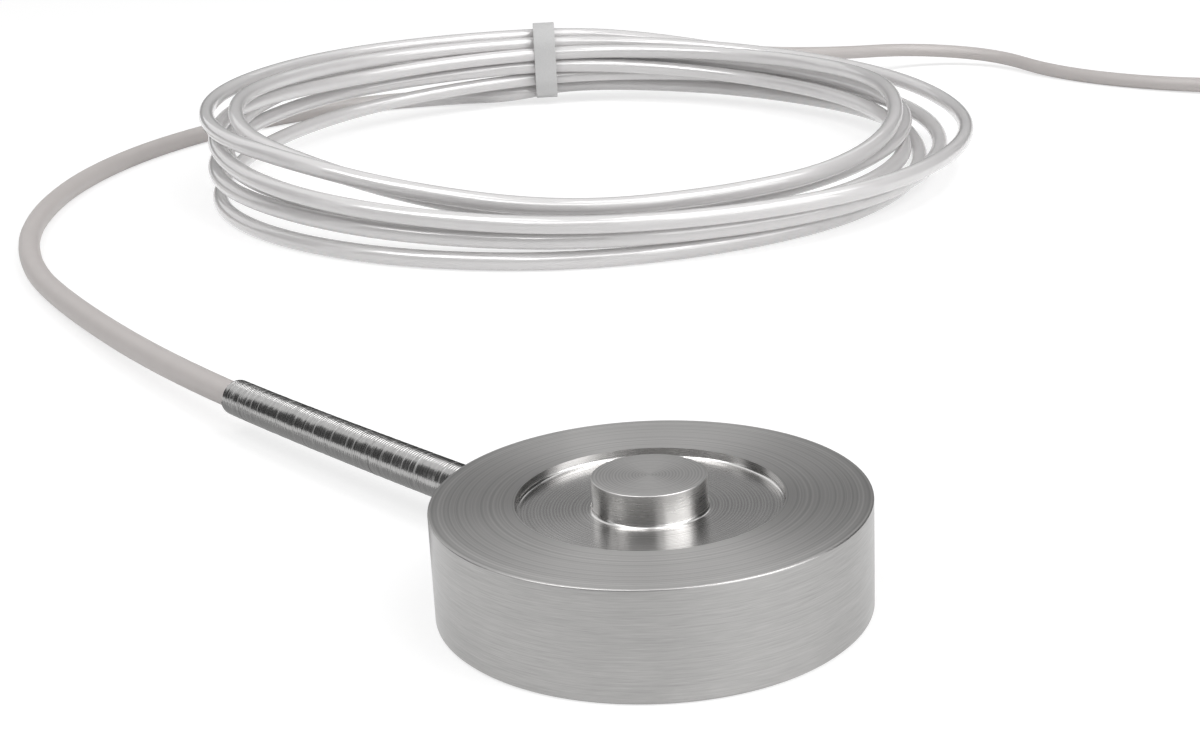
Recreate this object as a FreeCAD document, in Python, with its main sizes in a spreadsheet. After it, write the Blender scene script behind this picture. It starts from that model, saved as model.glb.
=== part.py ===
import FreeCAD, Part
import math
import os
import Sketcher

# Miniature compression load cell with a side cable, lengths in millimetres.
# The origin is the centre of the foot, +Z is the load axis and the cable leaves along -X.
# Heights stack up from the foot: cover, board, cable entry, diaphragm, recess and button.

SIZES = {
    # Turned steel body: outer ring, thin diaphragm and load button in one piece.
    "body_diameter": 31.8,
    "button_diameter": 8.3,
    "button_rise": 1.65,
    "recess_diameter": 19.4,
    "recess_depth": 0.75,
    "recess_fillet": 0.3,
    "diaphragm_thickness": 1.5,
    "diaphragm_web": 7.0,
    "boss_length": 0.8,
    "cavity_diameter": 20.0,
    "ring_edge_chamfer": 0.12,
    "foot_edge_chamfer": 0.2,
    "button_edge_chamfer": 0.12,
    # Thin disc that closes the gauge cavity from below, set back behind the foot.
    "cover_ledge": 0.9,
    "cover_thickness": 0.6,
    "cover_inset": 0.15,
    "cover_gap": 0.05,
    "cover_edge_chamfer": 0.1,
    # Ring-shaped circuit board, held up against a ledge in the cavity.
    "board_ledge": 1.0,
    "board_width": 7.0,
    "board_thickness": 0.6,
    "board_gap": 0.1,
    "board_clearance": 0.45,
    # Foil strain gauges under the diaphragm, and their fine leads.
    "gauge_length": 3.6,
    "gauge_width": 2.2,
    "gauge_thickness": 0.1,
    "gauge_corner": 0.4,
    "gauge_lead_diameter": 0.2,
    "gauge_lead_spread": 1.0,
    "gauge_lead_margin": 0.5,
    # Temperature resistor on the diaphragm and trimming resistors on the board.
    "span_resistor_length": 2.0,
    "span_resistor_width": 1.2,
    "span_resistor_thickness": 0.3,
    "trim_length": 1.6,
    "trim_width": 0.8,
    "trim_thickness": 0.45,
    # Soldered ends of the cores: how far in from the jacket's end they stand on the board.
    "near_pad_reach": 0.6,
    "far_pad_reach": 1.6,
    "drain_pad_reach": 2.3,
    "solder_foot_diameter": 1.2,
    "solder_height": 0.5,
    # Cable, its four cores and its bare drain wire.
    "cable_diameter": 2.4,
    "core_diameter": 0.66,
    "core_gap": 0.09,
    "drain_diameter": 0.32,
    "jacket_stub": 0.4,
    "bore_gap": 0.05,
    "bore_overrun": 0.5,
    # Cable entry: crimped ring inside, potting and bend spring in the counterbore.
    "crimp_wall": 0.32,
    "crimp_gap": 0.03,
    "crimp_length": 1.8,
    "crimp_setback": 0.2,
    "crimp_board_gap": 0.15,
    "crimp_ceiling_gap": 0.95,
    "potting_length": 0.8,
    "potting_gap": 0.02,
    "spring_cable_gap": 0.2,
    "spring_wire_diameter": 0.3,
    "spring_length": 42.4,
    "spring_seat_depth": 2.4,
    "spring_seat_gap": 0.05,
    "spring_tip_rounding": 0.2,
    # Coil of the cable: reach from its centre, width and height at its four sides.
    "coil_centre_x": -110.5,
    "coil_centre_y": 94.1,
    "coil_yaw": 47.2,
    "coil_lift": 0.05,
    "coil_back_reach": 53.2,
    "coil_back_width": 6.0,
    "coil_back_height": 11.8,
    "coil_right_reach": 50.4,
    "coil_right_width": 11.6,
    "coil_right_height": 8.8,
    "coil_front_reach": 52.2,
    "coil_front_width": 5.6,
    "coil_front_height": 8.8,
    "coil_left_reach": 47.9,
    "coil_left_width": 6.6,
    "coil_left_height": 12.9,
    # Strap round the back of the coil, a little to the left of its middle.
    "tie_shift": 4.3,
    "tie_width": 4.0,
    "tie_thickness": 0.4,
    "tie_clearance": 0.35,
    # Shrunk sleeve at the free end, and the stripped cores that fan out of it.
    "sleeve_length": 11.0,
    "sleeve_overhang": 4.0,
    "sleeve_wall": 0.3,
    "sleeve_gap": 0.05,
    "free_core_stub": 2.0,
    "free_core_fall": 8.0,
    "free_core_flat": 10.0,
    "free_core_fan": 4.0,
    "free_core_floor_gap": 0.05,
    "tip_diameter": 0.4,
    "tip_length": 4.0,
}

# Route of the cable past its first straight run: x, y and the height of its underside.
LEAD_ROUTE = [
    (-71.7, 3.2, 1.4),
    (-101.8, 9.7, 0.3),
    (-121.5, 15.5, 0.0),
    (-141.1, 25.9, 0.0),
    (-159.2, 42.4, 0.0),
    (-171.3, 62.1, 0.0),
    (-176.5, 83.3, 0.0),
    (-172.8, 104.1, 0.0),
    (-164.6, 117.0, 0.05),
    (-157.6, 124.6, 0.2),
]
TAIL_ROUTE = [
    (-138.0, 144.4, 7.8),
    (-127.6, 150.8, 5.6),
    (-123.7, 167.7, 3.4),
    (-121.4, 186.6, 1.7),
    (-109.0, 194.8, 0.5),
    (-93.3, 188.4, 0.0),
    (-74.4, 187.6, 0.0),
]
# The last stretch, where the height is that of the sleeve's underside.
SLEEVE_ROUTE = [
    (-56.5, 192.7, 0.02),
    (-41.5, 203.4, 0.1),
]
FIRST_RUN_END_X = -39.8
ARC_SHARE = 0.45
COIL_SIDES = ("back", "right", "front", "left")
COIL_STATIONS = 32
GAUGE_ANGLES = (45, 135, 225, 315)
TRIM_ANGLES = (-32, 0, 32)
SPAN_ANGLE = 0
# Core name: its side and level in the cable, its pad's name and angle, and its share of the fan.
CORES = {
    "red": (1, 1, "far_pad_reach", 125, 0.3),
    "black": (-1, 1, "far_pad_reach", 235, -0.3),
    "green": (1, -1, "near_pad_reach", 155, 1.0),
    "white": (-1, -1, "near_pad_reach", 205, -1.0),
}
DRAIN_PAD_ANGLE = 180
HALFWAY_FAN = 0.6
SAME = 1e-6
VOLUME_TOLERANCE = 0.001

Vector = FreeCAD.Vector
UP = Vector(0, 0, 1)
doc = FreeCAD.newDocument("load_cell")
sheet = doc.addObject("Spreadsheet::Sheet", "Dims")
nodes = []


# Sizes and formulas

class Size:
    """A length of the object: its number, and the sheet formula that it comes from."""

    def __init__(self, value, formula):
        self.value = value
        self.formula = formula

    def __add__(self, other):
        other = as_size(other)
        return Size(self.value + other.value, f"({self.formula} + {other.formula})")

    def __sub__(self, other):
        other = as_size(other)
        return Size(self.value - other.value, f"({self.formula} - {other.formula})")

    def __mul__(self, other):
        other = as_size(other)
        return Size(self.value * other.value, f"({self.formula} * {other.formula})")

    def __truediv__(self, other):
        other = as_size(other)
        return Size(self.value / other.value, f"({self.formula} / {other.formula})")

    def __neg__(self):
        return Size(-self.value, f"(0 - {self.formula})")


def as_size(number):
    return number if isinstance(number, Size) else Size(number, repr(number))


def fill_sheet():
    for row, (name, value) in enumerate(SIZES.items(), start=1):
        sheet.set(f"A{row}", name)
        sheet.set(f"B{row}", str(value))
        sheet.setAlias(f"B{row}", name)
    doc.recompute()


def dim(name):
    return Size(float(sheet.get(name)), f"Dims.{name}")


def bind(item, path, size):
    item.setExpression(path, as_size(size).formula)


# Sketches and the solids made from them

def keep(item, label):
    item.Label = label
    nodes.append(item)
    return item


def new_body(label):
    return keep(doc.addObject("PartDesign::Body", "body_" + label), label)


def new_sketch(body, name, role, offset=None):
    """Sketch on one of the body's own origin planes, moved along its normal by offset."""
    sketch = body.newObject("Sketcher::SketchObject", name)
    plane = [item for item in body.Origin.OriginFeatures if item.Role == role][0]
    sketch.AttachmentSupport = [(plane, "")]
    sketch.MapMode = "FlatFace"
    if offset is not None:
        bind(sketch, "AttachmentOffset.Base.z", offset)
    return sketch


def tie_point(sketch, geometry, point, axis_name, size):
    """Hold one coordinate of a sketch point at a size, or on the axis where it is zero."""
    if size.value == 0:
        axis = -2 if axis_name == "DistanceX" else -1
        sketch.addConstraint(Sketcher.Constraint("PointOnObject", geometry, point, axis))
        return
    index = sketch.addConstraint(
        Sketcher.Constraint(axis_name, -1, 1, geometry, point, size.value))
    bind(sketch, f"Constraints[{index}]", size)


def draw_outline(sketch, corners):
    """Closed outline whose corners are tied to the sheet one by one."""
    corners = [(as_size(x), as_size(y)) for x, y in corners]
    first = sketch.GeometryCount
    count = len(corners)
    for index in range(count):
        start = corners[index]
        end = corners[(index + 1) % count]
        line = Part.LineSegment(Vector(start[0].value, start[1].value, 0),
                                Vector(end[0].value, end[1].value, 0))
        sketch.addGeometry(line, False)
    for index, (x, y) in enumerate(corners):
        following = first + (index + 1) % count
        sketch.addConstraint(Sketcher.Constraint("Coincident", first + index, 2, following, 1))
        tie_point(sketch, first + index, 1, "DistanceX", x)
        tie_point(sketch, first + index, 1, "DistanceY", y)


def draw_circle(sketch, x, y, diameter):
    x, y, diameter = as_size(x), as_size(y), as_size(diameter)
    circle = Part.Circle(Vector(x.value, y.value, 0), UP, diameter.value / 2)
    index = sketch.addGeometry(circle, False)
    tie_point(sketch, index, 3, "DistanceX", x)
    tie_point(sketch, index, 3, "DistanceY", y)
    held = sketch.addConstraint(Sketcher.Constraint("Diameter", index, diameter.value))
    bind(sketch, f"Constraints[{held}]", diameter)


def draw_slot(sketch, radius, straight, middle):
    """Upright slot: two straight sides joined by half circles, its middle at a height."""
    radius, half, middle = as_size(radius), as_size(straight) / 2, as_size(middle)
    low, high = middle - half, middle + half
    left, right = -radius, radius
    first = sketch.GeometryCount
    sketch.addGeometry(Part.LineSegment(Vector(right.value, low.value, 0),
                                        Vector(right.value, high.value, 0)), False)
    sketch.addGeometry(Part.LineSegment(Vector(left.value, high.value, 0),
                                        Vector(left.value, low.value, 0)), False)
    upper = Part.Circle(Vector(0, high.value, 0), UP, radius.value)
    lower = Part.Circle(Vector(0, low.value, 0), UP, radius.value)
    sketch.addGeometry(Part.ArcOfCircle(upper, 0, math.pi), False)
    sketch.addGeometry(Part.ArcOfCircle(lower, math.pi, 2 * math.pi), False)
    for line, arc, line_end, arc_end in ((0, 2, 2, 1), (1, 2, 1, 2), (1, 3, 2, 1), (0, 3, 1, 2)):
        joint = Sketcher.Constraint("Tangent", first + line, line_end, first + arc, arc_end)
        sketch.addConstraint(joint)
    for arc, height in ((2, high), (3, low)):
        tie_point(sketch, first + arc, 3, "DistanceX", as_size(0))
        tie_point(sketch, first + arc, 3, "DistanceY", height)
    held = sketch.addConstraint(Sketcher.Constraint("Radius", first + 2, radius.value))
    bind(sketch, f"Constraints[{held}]", radius)


def revolve(body, sketch, axis):
    turned = body.newObject("PartDesign::Revolution", sketch.Name + "_turned")
    turned.Profile = sketch
    turned.ReferenceAxis = (sketch, [axis])
    turned.Angle = 360
    doc.recompute()
    return turned


def pad(body, sketch, length, midplane=False):
    padded = body.newObject("PartDesign::Pad", sketch.Name + "_pad")
    padded.Profile = sketch
    padded.Midplane = midplane
    bind(padded, "Length", length)
    doc.recompute()
    return padded


def ring_edge(shape, radius, height):
    """Name of the round edge about the load axis with this radius at this height."""
    for index, edge in enumerate(shape.Edges, start=1):
        curve = edge.Curve
        if not isinstance(curve, Part.Circle):
            continue
        if abs(curve.Radius - radius.value) < SAME and abs(curve.Center.z - height.value) < SAME:
            return f"Edge{index}"
    raise RuntimeError("no round edge of that size")


def turned_on_exit(label, corners):
    """Ring turned about the cable's axis: corners give distance out along it, and radius."""
    body = new_body(label)
    sketch = new_sketch(body, label + "_profile", "XZ_Plane")
    draw_outline(sketch, corners)
    revolve(body, sketch, "H_Axis")
    body.Placement = FreeCAD.Placement(Vector(0, 0, 0), FreeCAD.Rotation(UP, 180))
    bind(body, "Placement.Base.z", exit_height())
    return body


def small_plate(label, circle_radius, length, width, foot, thickness, angle, corner=0.0):
    """Flat chip whose middle lies on a circle about the load axis, turned to an angle."""
    near, far = circle_radius - length / 2, circle_radius + length / 2
    half = width / 2
    corner = as_size(corner)
    if corner.value:
        corners = [(near + corner, -half), (far, -half), (far, half), (near + corner, half),
                   (near, half - corner), (near, corner - half)]
    else:
        corners = [(near, -half), (far, -half), (far, half), (near, half)]
    body = new_body(label)
    sketch = new_sketch(body, label + "_outline", "XY_Plane", foot)
    draw_outline(sketch, corners)
    pad(body, sketch, thickness)
    body.Placement = FreeCAD.Placement(Vector(0, 0, 0), FreeCAD.Rotation(UP, angle))
    return body


# Routes of straight runs joined by tangent arcs

def bend_route(points):
    """Edges along the points, each corner rounded as far as its two runs allow."""
    points = [Vector(*point) for point in points]
    pieces = []
    radii = []
    start = points[0]
    for before, corner, after in zip(points, points[1:], points[2:]):
        arriving = (corner - before).normalize()
        leaving = (after - corner).normalize()
        share = ARC_SHARE * min((corner - before).Length, (after - corner).Length)
        half_turn = arriving.getAngle(leaving) / 2
        radius = share / math.tan(half_turn)
        to_centre = (leaving - arriving).normalize()
        depth = radius / math.cos(half_turn) - radius
        arc_start = corner - arriving * share
        arc_end = corner + leaving * share
        pieces.append(Part.LineSegment(start, arc_start))
        pieces.append(Part.Arc(arc_start, corner + to_centre * depth, arc_end))
        radii.append(radius)
        start = arc_end
    pieces.append(Part.LineSegment(start, points[-1]))
    return [piece.toShape() for piece in pieces], radii


def stretch(edges, begin, finish):
    """The part of a route between two distances along it."""
    pieces = []
    travelled = 0
    for edge in edges:
        first = max(begin - travelled, 0)
        last = min(finish - travelled, edge.Length)
        if last > first:
            limits = [edge.getParameterByLength(distance) for distance in (first, last)]
            pieces.append(edge.Curve.toShape(*limits))
        travelled += edge.Length
    return pieces


def sweep(edges, diameter):
    """Round rod along the edges, and its length."""
    wire = Part.Wire(edges)
    first = edges[0].FirstParameter
    rim = Part.makeCircle(diameter / 2, edges[0].valueAt(first), edges[0].tangentAt(first))
    return wire.makePipe(Part.Face(Part.Wire([rim]))), wire.Length


def add_shape(label, shape):
    item = keep(doc.addObject("Part::Feature", "shape_" + label), label)
    item.Shape = shape
    return item


def add_rod(label, points, diameter):
    """Rod along a route, with its volume compared with its section times its length."""
    edges, radii = bend_route(points)
    shape, length = sweep(edges, diameter)
    expected = math.pi * diameter ** 2 / 4 * length
    if abs(shape.Volume - expected) > expected * VOLUME_TOLERANCE:
        raise RuntimeError(label + " has not the volume of its section times its length")
    print(label, "length", round(length, 1), "radii", [round(radius, 1) for radius in radii])
    add_shape(label, shape)
    return edges


def group(label, items):
    """Separate solids of one kind under one name."""
    compound = doc.addObject("Part::Compound", "group_" + label)
    compound.Links = items
    doc.recompute()
    return keep(compound, label)


# Levels and radii that several pieces share

def cavity_radius():
    return dim("cavity_diameter") / 2


def board_radius():
    return cavity_radius() + dim("board_ledge")


def board_seat_radius():
    return board_radius() + dim("board_gap")


def cover_radius():
    return board_seat_radius() + dim("cover_ledge")


def crimp_bore_radius():
    return dim("cable_diameter") / 2 + dim("crimp_gap")


def crimp_radius():
    return crimp_bore_radius() + dim("crimp_wall")


def crimp_end():
    """How far from the load axis the crimped ring ends inside the cavity."""
    return cavity_radius() - dim("crimp_setback") - dim("crimp_length")


def jacket_end():
    return crimp_end() - dim("jacket_stub")


def spring_bore_radius():
    return dim("cable_diameter") / 2 + dim("spring_cable_gap")


def spring_radius():
    return spring_bore_radius() + dim("spring_wire_diameter")


def spring_foot():
    """How far from the load axis the bend spring starts in its seat."""
    return dim("body_diameter") / 2 - dim("spring_seat_depth")


def core_offset():
    return dim("core_diameter") / 2 + dim("core_gap")


def gauge_circle():
    return cavity_radius() - dim("diaphragm_web") / 2


def cover_top():
    return dim("cover_inset") + dim("cover_thickness")


def board_top():
    return cover_top() + dim("board_clearance") + dim("board_thickness")


def exit_height():
    return board_top() + dim("crimp_board_gap") + crimp_radius()


def ceiling():
    return exit_height() + crimp_radius() + dim("crimp_ceiling_gap")


def recess_floor():
    return ceiling() + dim("diaphragm_thickness")


def ring_top():
    return recess_floor() + dim("recess_depth")


def crown():
    return ring_top() + dim("button_rise")


# The cell itself

def make_sensor_body():
    """One turned piece: foot, ring, diaphragm with its recess, load button and inner boss."""
    outer = dim("body_diameter") / 2
    button = dim("button_diameter") / 2
    recess = dim("recess_diameter") / 2
    cover_seat = cover_radius() + dim("cover_gap")
    boss = cavity_radius() - dim("diaphragm_web")
    boss_face = ceiling() - dim("boss_length")
    foot_chamfer = dim("foot_edge_chamfer")
    ring_chamfer = dim("ring_edge_chamfer")
    button_chamfer = dim("button_edge_chamfer")
    body = new_body("sensor_body")
    profile = new_sketch(body, "body_profile", "XZ_Plane")
    draw_outline(profile, [
        (0, boss_face),
        (boss, boss_face),
        (boss, ceiling()),
        (cavity_radius(), ceiling()),
        (cavity_radius(), board_top()),
        (board_seat_radius(), board_top()),
        (board_seat_radius(), cover_top()),
        (cover_seat, cover_top()),
        (cover_seat, 0),
        (outer - foot_chamfer, 0),
        (outer, foot_chamfer),
        (outer, ring_top() - ring_chamfer),
        (outer - ring_chamfer, ring_top()),
        (recess, ring_top()),
        (recess, recess_floor()),
        (button, recess_floor()),
        (button, crown() - button_chamfer),
        (button - button_chamfer, crown()),
        (0, crown()),
    ])
    turned = revolve(body, profile, "V_Axis")
    rounding = body.newObject("PartDesign::Fillet", "recess_rounding")
    corners = [ring_edge(turned.Shape, radius, recess_floor()) for radius in (recess, button)]
    rounding.Base = (turned, corners)
    bind(rounding, "Radius", dim("recess_fillet"))
    doc.recompute()
    cut_cable_entry(body, outer)


def cut_cable_entry(body, outer):
    """Cable bore through the ring's wall, with a wider seat for potting and spring outside."""
    before = body.Shape.Volume
    mouth = new_sketch(body, "cable_mouth", "YZ_Plane", -outer)
    draw_circle(mouth, 0, exit_height(), dim("cable_diameter"))
    doc.recompute()
    bore = body.newObject("PartDesign::Hole", "cable_bore")
    bore.Profile = mouth
    bore.Threaded = False
    bore.Reversed = True
    bore.DepthType = "Dimension"
    bore.DrillPoint = "Flat"
    bore.HoleCutType = "Counterbore"
    bore.HoleCutCustomValues = True
    bind(bore, "Diameter", dim("cable_diameter") + dim("bore_gap") * 2)
    bind(bore, "Depth", outer - cavity_radius() + dim("bore_overrun"))
    bind(bore, "HoleCutDiameter", (spring_radius() + dim("spring_seat_gap")) * 2)
    bind(bore, "HoleCutDepth", dim("spring_seat_depth") + dim("potting_length"))
    doc.recompute()
    if not body.Shape.Volume < before:
        raise RuntimeError("the cable bore cuts nothing")


def make_base_cover():
    """Thin closing disc with a small chamfer on its lower rim."""
    rim = cover_radius()
    chamfer = dim("cover_edge_chamfer")
    low, high = dim("cover_inset"), cover_top()
    body = new_body("base_cover")
    profile = new_sketch(body, "cover_profile", "XZ_Plane")
    draw_outline(profile, [(0, low), (rim - chamfer, low), (rim, low + chamfer), (rim, high), (0, high)])
    revolve(body, profile, "V_Axis")


def make_bridge_board():
    body = new_body("bridge_board")
    outline = new_sketch(body, "board_outline", "XY_Plane", board_top() - dim("board_thickness"))
    draw_circle(outline, 0, 0, board_radius() * 2)
    draw_circle(outline, 0, 0, (board_radius() - dim("board_width")) * 2)
    pad(body, outline, dim("board_thickness"))


def make_gauges():
    """Four gauges across the diaphragm, each with a pair of leads down to the board."""
    face = ceiling() - dim("gauge_thickness")
    for number, angle in enumerate(GAUGE_ANGLES, start=1):
        small_plate(f"strain_gauge_{number}", gauge_circle(), dim("gauge_length"),
                    dim("gauge_width"), face, dim("gauge_thickness"), angle, dim("gauge_corner"))
    reach = gauge_circle() + dim("gauge_length") / 2 - dim("gauge_lead_margin")
    leads = []
    for angle in GAUGE_ANGLES:
        cosine, sine = math.cos(math.radians(angle)), math.sin(math.radians(angle))
        for side in (-1, 1):
            across = dim("gauge_lead_spread") / 2 * side
            lead = doc.addObject("Part::Cylinder", "gauge_lead")
            bind(lead, "Radius", dim("gauge_lead_diameter") / 2)
            bind(lead, "Height", face - board_top())
            bind(lead, "Placement.Base.x", reach * cosine - across * sine)
            bind(lead, "Placement.Base.y", reach * sine + across * cosine)
            bind(lead, "Placement.Base.z", board_top())
            leads.append(lead)
    group("gauge_leads", leads)


def make_resistors():
    """Temperature resistor on the diaphragm, and trimming resistors in the middle of the board."""
    thickness = dim("span_resistor_thickness")
    small_plate("span_resistor", gauge_circle(), dim("span_resistor_length"),
                dim("span_resistor_width"), ceiling() - thickness, thickness, SPAN_ANGLE)
    middle = board_radius() - dim("board_width") / 2
    for number, angle in enumerate(TRIM_ANGLES, start=1):
        small_plate(f"trim_resistor_{number}", middle, dim("trim_length"),
                    dim("trim_width"), board_top(), dim("trim_thickness"), angle)


def add_solder(reach_name, angle):
    """Cone of solder on the board round the end of a wire."""
    reach = jacket_end() - dim(reach_name)
    cone = doc.addObject("Part::Cone", "solder_joint")
    bind(cone, "Radius1", dim("solder_foot_diameter") / 2)
    bind(cone, "Radius2", dim("core_diameter") / 2)
    bind(cone, "Height", dim("solder_height"))
    bind(cone, "Placement.Base.x", reach * math.cos(math.radians(angle)))
    bind(cone, "Placement.Base.y", reach * math.sin(math.radians(angle)))
    bind(cone, "Placement.Base.z", board_top())
    doc.recompute()
    return cone


def make_inner_cores():
    """Cores and drain wire from the stripped jacket to their soldered ends on the board."""
    start = -jacket_end().value
    axis = exit_height().value
    offset = core_offset().value
    width = dim("core_diameter").value
    solder_top = (board_top() + dim("solder_height")).value
    joints = []
    for colour, (side, level, reach_name, angle, _) in CORES.items():
        joints.append(add_solder(reach_name, angle))
        foot = joints[-1].Placement.Base
        height = axis + level * offset
        route = [(start, side * offset, height), (start + width, side * offset, height),
                 (foot.x, foot.y, max(axis, height)), (foot.x, foot.y, solder_top)]
        add_rod(f"inner_core_{colour}", route, width)
    joints.append(add_solder("drain_pad_reach", DRAIN_PAD_ANGLE))
    foot = joints[-1].Placement.Base
    route = [(start, 0, axis), (foot.x, foot.y, axis), (foot.x, foot.y, solder_top)]
    add_rod("inner_drain_wire", route, dim("drain_diameter").value)
    group("solder_joints", joints)


def make_cable_entry():
    """Crimped ring against the inner wall, and potting behind the spring's seat."""
    wall = cavity_radius() - dim("crimp_setback")
    turned_on_exit("crimp_ring", [(crimp_end(), crimp_bore_radius()), (wall, crimp_bore_radius()),
                                  (wall, crimp_radius()), (crimp_end(), crimp_radius())])
    shoulder = spring_foot() - dim("potting_length")
    inside = dim("cable_diameter") / 2 + dim("potting_gap")
    outside = spring_radius() + dim("spring_seat_gap") - dim("potting_gap")
    turned_on_exit("entry_potting", [(shoulder, inside), (spring_foot(), inside),
                                     (spring_foot(), outside), (shoulder, outside)])


# The cable and what is on it

def on_floor(route, radius):
    """Centre line of a route whose heights are those of its underside."""
    return [(x, y, radius.value + height) for x, y, height in route]


def make_lead_and_spring():
    """Cable from the cavity to the coil, and the close-wound spring round its first stretch."""
    axis = exit_height().value
    cable = dim("cable_diameter")
    route = [(-jacket_end().value, 0, axis), (FIRST_RUN_END_X, 0, axis)] + on_floor(LEAD_ROUTE, cable / 2)
    edges = add_rod("cable_lead", route, cable.value)
    begin = (spring_foot() - jacket_end()).value
    rounding = dim("spring_tip_rounding").value
    path = stretch(edges, begin, begin + dim("spring_length").value - rounding)
    outer, inner = spring_radius().value, spring_bore_radius().value
    tube = sweep(path, outer * 2)[0].cut(sweep(path, inner * 2)[0])
    last = path[-1].LastParameter
    add_shape("bend_spring", tube.fuse(rounded_end(path[-1].valueAt(last), path[-1].tangentAt(last),
                                                   inner, outer, rounding)))


def rounded_end(base, ahead, inner, outer, rounding):
    """Ring that closes a tube, with its outer rim a quarter round."""
    aside = UP.cross(ahead).normalize()
    middle = base + aside * (outer - rounding)
    inside, outside = base + aside * inner, base + aside * outer
    face_inside, face_outside = inside + ahead * rounding, middle + ahead * rounding
    halfway = middle + (aside + ahead).normalize() * rounding
    profile = [Part.LineSegment(inside, face_inside), Part.LineSegment(face_inside, face_outside),
               Part.Arc(face_outside, halfway, outside), Part.LineSegment(outside, inside)]
    outline = Part.Wire([line.toShape() for line in profile])
    return Part.Face(outline).revolve(base, ahead, 360)


def coil_side(side, what):
    return dim(f"coil_{side}_{what}").value


def coil_foot(side):
    """Height of the coil's underside: near the floor, or over the strap where that passes below."""
    if side == "back":
        return (dim("tie_thickness") + dim("tie_clearance")).value
    return dim("coil_lift").value


def coil_axes():
    """Centre of the coil on the floor, and its directions to the right and to the back."""
    yaw = math.radians(dim("coil_yaw").value)
    centre = Vector(dim("coil_centre_x").value, dim("coil_centre_y").value, 0)
    return centre, Vector(math.cos(yaw), math.sin(yaw), 0), Vector(-math.sin(yaw), math.cos(yaw), 0)


def coil_station(station):
    """Middle of the bundle of turns at one place round the coil, its way out and its half sizes."""
    per_side = COIL_STATIONS // len(COIL_SIDES)
    quarter, step = divmod(station, per_side)
    blend = math.sin(math.pi / 2 * step / per_side) ** 2
    here, there = COIL_SIDES[quarter], COIL_SIDES[(quarter + 1) % len(COIL_SIDES)]

    def between(what):
        return coil_side(here, what) * (1 - blend) + coil_side(there, what) * blend

    foot = coil_foot(here) * (1 - blend) + coil_foot(there) * blend
    half_width, half_height = between("width") / 2, between("height") / 2
    centre, right, back = coil_axes()
    turn = 2 * math.pi * station / COIL_STATIONS
    outward = right * math.sin(turn) + back * math.cos(turn)
    middle = centre + outward * between("reach") + UP * (foot + half_height)
    return middle, outward, half_width, half_height


def coil_section(station):
    """Oval section of the bundle at one of its stations."""
    middle, outward, half_width, half_height = coil_station(station)
    along = outward.cross(UP)
    place = FreeCAD.Matrix(outward.x * half_width, 0, along.x, middle.x,
                           outward.y * half_width, 0, along.y, middle.y,
                           0, half_height, 0, middle.z,
                           0, 0, 0, 1)
    return Part.Wire(Part.makeCircle(1).transformGeometry(place).Edges)


def make_coil():
    """Outer form of the tied turns: oval sections joined by short straight runs into a closed ring."""
    sections = [coil_section(station) for station in range(COIL_STATIONS)]
    add_shape("cable_coil", Part.makeLoft(sections, True, True, True))


def make_tie():
    """Strap that holds the turns together, square to the coil's run beside its back."""
    clearance, thickness = dim("tie_clearance"), dim("tie_thickness")
    inner = dim("coil_back_width") / 2 + clearance
    straight = dim("coil_back_height") + clearance * 2 - inner * 2
    middle = thickness + inner + straight / 2
    body = new_body("coil_tie")
    outline = new_sketch(body, "tie_outline", "XZ_Plane")
    draw_slot(outline, inner, straight, middle)
    draw_slot(outline, inner + thickness, straight, middle)
    pad(body, outline, dim("tie_width"), midplane=True)
    back = coil_station(0)[0]
    run = coil_station(COIL_STATIONS - 1)[0] - back
    run.z = 0
    run.normalize()
    place = Vector(back.x, back.y, 0) + run * dim("tie_shift").value
    body.Placement = FreeCAD.Placement(place, FreeCAD.Rotation(Vector(1, 0, 0), run.cross(UP)))


def make_tail():
    """Cable from the coil to its free end, with the sleeve and the stripped cores."""
    cable = dim("cable_diameter")
    inside = cable / 2 + dim("sleeve_gap")
    outside = inside + dim("sleeve_wall")
    route = on_floor(TAIL_ROUTE, cable / 2) + on_floor(SLEEVE_ROUTE, outside)
    add_rod("cable_tail", route, cable.value)
    end = Vector(*route[-1])
    ahead = (end - Vector(*route[-2])).normalize()
    aside = UP.cross(ahead).normalize()
    facing = FreeCAD.Rotation(ahead, aside, ahead.cross(aside), "XYZ")
    overhang = dim("sleeve_overhang")
    covered = dim("sleeve_length") - overhang
    sleeve = new_body("end_sleeve")
    profile = new_sketch(sleeve, "sleeve_profile", "XZ_Plane")
    draw_outline(profile, [(-covered, inside), (overhang, inside), (overhang, outside), (-covered, outside)])
    revolve(sleeve, profile, "H_Axis")
    sleeve.Placement = FreeCAD.Placement(end, facing)
    make_free_cores(end, ahead, aside)


def free_route(end, ahead, aside, place, fan, width):
    """Route of one stripped wire: out of the sleeve, down to the floor and along it."""
    straight = (dim("sleeve_overhang") + dim("free_core_stub")).value
    bend = straight + dim("free_core_fall").value
    reach = bend + dim("free_core_flat").value
    level = width / 2 + dim("free_core_floor_gap").value
    flat_ahead = Vector(ahead.x, ahead.y, 0).normalize()
    start = end + place
    landing = end + flat_ahead * bend + aside * (fan * HALFWAY_FAN)
    finish = end + flat_ahead * reach + aside * fan
    landing.z = level
    finish.z = level
    return [start, start + ahead * straight, landing, finish]


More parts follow.
